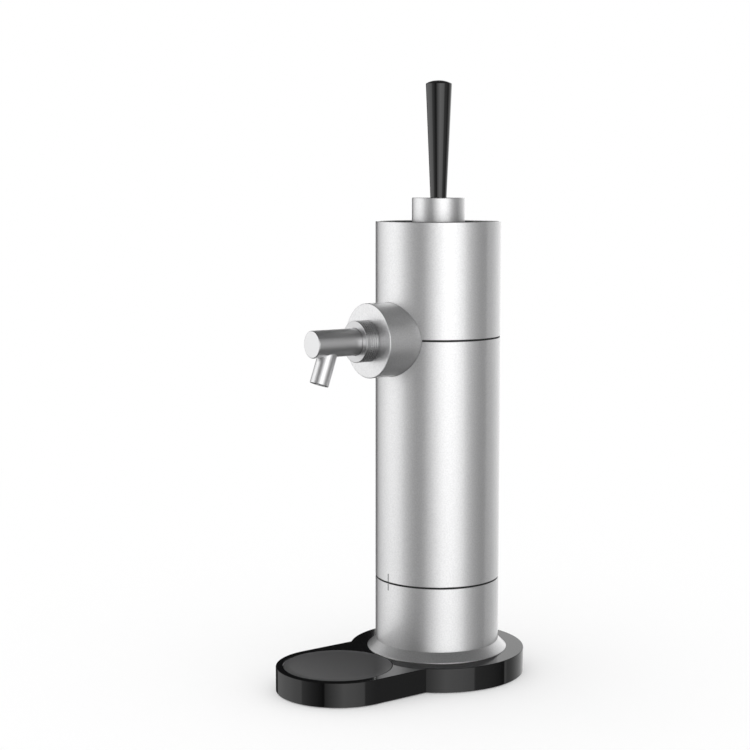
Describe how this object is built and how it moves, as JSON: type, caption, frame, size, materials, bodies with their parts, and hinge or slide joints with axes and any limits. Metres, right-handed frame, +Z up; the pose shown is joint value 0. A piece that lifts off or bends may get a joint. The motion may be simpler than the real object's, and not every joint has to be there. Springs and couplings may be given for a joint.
{
  "type": "countertop drink dispenser",
  "caption": "Upright column dispenser with a lift-off head, lever handle, threaded front tap with angled nozzle, lobed base and drip tray",
  "frame": {"origin": "middle of the footprint, on the table", "axes": "+Z up, tap and drip tray towards -Y, column towards +Y"},
  "size_m": [0.1528, 0.2363, 0.5141],
  "materials": {
    "gloss_black": "polished black moulding",
    "satin_silver": "fine-grained satin metal",
    "bright_metal": "polished metal",
    "dark_rubber": "matt rubber",
    "clear_white": "food-grade moulding",
    "grey_plastic": "inner moulding",
    "foam": "insulating foam",
    "steel": "plain steel",
    "brass_part": "plain brass",
    "board": "circuit board",
    "cell": "battery sleeve, plain"
  },
  "bodies": {
    "base": {"base_shell": "gloss_black", "base_bottom_plate": "grey_plastic", "rubber_feet": "dark_rubber", "base_screws": "steel", "foot_ring": "satin_silver", "lower_housing": "satin_silver", "housing_screws": "steel", "lower_gasket": "dark_rubber", "bayonet_ring": "grey_plastic", "battery_holder": "grey_plastic", "battery_cells": "cell", "battery_contacts": "brass_part", "battery_cap": "grey_plastic", "lower_contact_pins": "brass_part", "control_board": "board"},
    "tray": {"drip_tray": "gloss_black"},
    "column": {"column_tube": "satin_silver", "column_end_ring": "grey_plastic", "inner_liner": "clear_white", "insulation_sleeve": "foam", "supply_strips": "brass_part", "contact_rings": "brass_part", "vessel_pad": "dark_rubber", "upper_gasket": "dark_rubber"},
    "head": {"head_shell": "satin_silver", "chassis_ring": "grey_plastic", "chassis_deck": "grey_plastic", "upper_contact_pins": "brass_part", "plug_seal": "dark_rubber", "neck_cup": "clear_white", "dip_tube": "clear_white", "tube_elbow": "clear_white", "foam_chamber": "clear_white", "foam_transducer": "steel", "beer_hose": "clear_white", "pump_head": "grey_plastic", "pump_motor": "steel", "head_board": "board", "upper_deck": "grey_plastic", "deck_screws": "steel", "micro_switches": "grey_plastic", "pivot_yoke": "steel", "yoke_screws": "steel", "top_plate": "gloss_black", "lever_collar": "satin_silver", "tap_boss": "satin_silver", "boss_screws": "steel", "tap_shank": "steel"},
    "handle": {"handle_grip": "gloss_black", "lever_stem": "steel", "lever_barrel": "grey_plastic", "pivot_pin": "steel"},
    "front_switch": {"front_plunger": "grey_plastic", "front_spring": "steel"},
    "rear_switch": {"rear_plunger": "grey_plastic", "rear_spring": "steel"},
    "spout": {"spout_body": "bright_metal", "spout_nozzle": "bright_metal", "spout_seal": "dark_rubber"},
    "nut": {"coupling_nut": "bright_metal"}
  },
  "joints": [
    {"name": "tray_lift", "type": "slide", "parent": "base", "child": "tray", "axis": [0, 0, 1], "range_m": [0, 0.03]},
    {"name": "column_twist", "type": "hinge", "parent": "base", "child": "column", "pos_m": [0, 0.04175, 0.0846], "axis": [0, 0, 1], "range_deg": [0, 30]},
    {"name": "head_lift", "type": "slide", "parent": "column", "child": "head", "axis": [0, 0, 1], "range_m": [0, 0.22]},
    {"name": "handle_tilt", "type": "hinge", "parent": "head", "child": "handle", "pos_m": [0, 0.04175, 0.396], "axis": [1, 0, 0], "range_deg": [-15, 15], "stiffness_Nm_per_rad": 1},
    {"name": "front_press", "type": "slide", "parent": "head", "child": "front_switch", "axis": [0, 0, 1], "range_m": [-0.0032, 0.0032], "deforming": ["front_spring"]},
    {"name": "rear_press", "type": "slide", "parent": "head", "child": "rear_switch", "axis": [0, 0, 1], "range_m": [-0.0032, 0.0032], "deforming": ["rear_spring"]},
    {"name": "spout_pull", "type": "slide", "parent": "head", "child": "spout", "axis": [0, -1, 0], "range_m": [0, 0.05]},
    {"name": "nut_spin", "type": "hinge", "parent": "spout", "child": "nut", "pos_m": [0, -0.04125, 0.2951], "axis": [0, -1, 0], "continuous": true}
  ],
  "couplings": [
    {"joint": "front_press", "follows": "handle_tilt", "m_per_rad": -0.012},
    {"joint": "rear_press", "follows": "handle_tilt", "m_per_rad": 0.012}
  ]
}
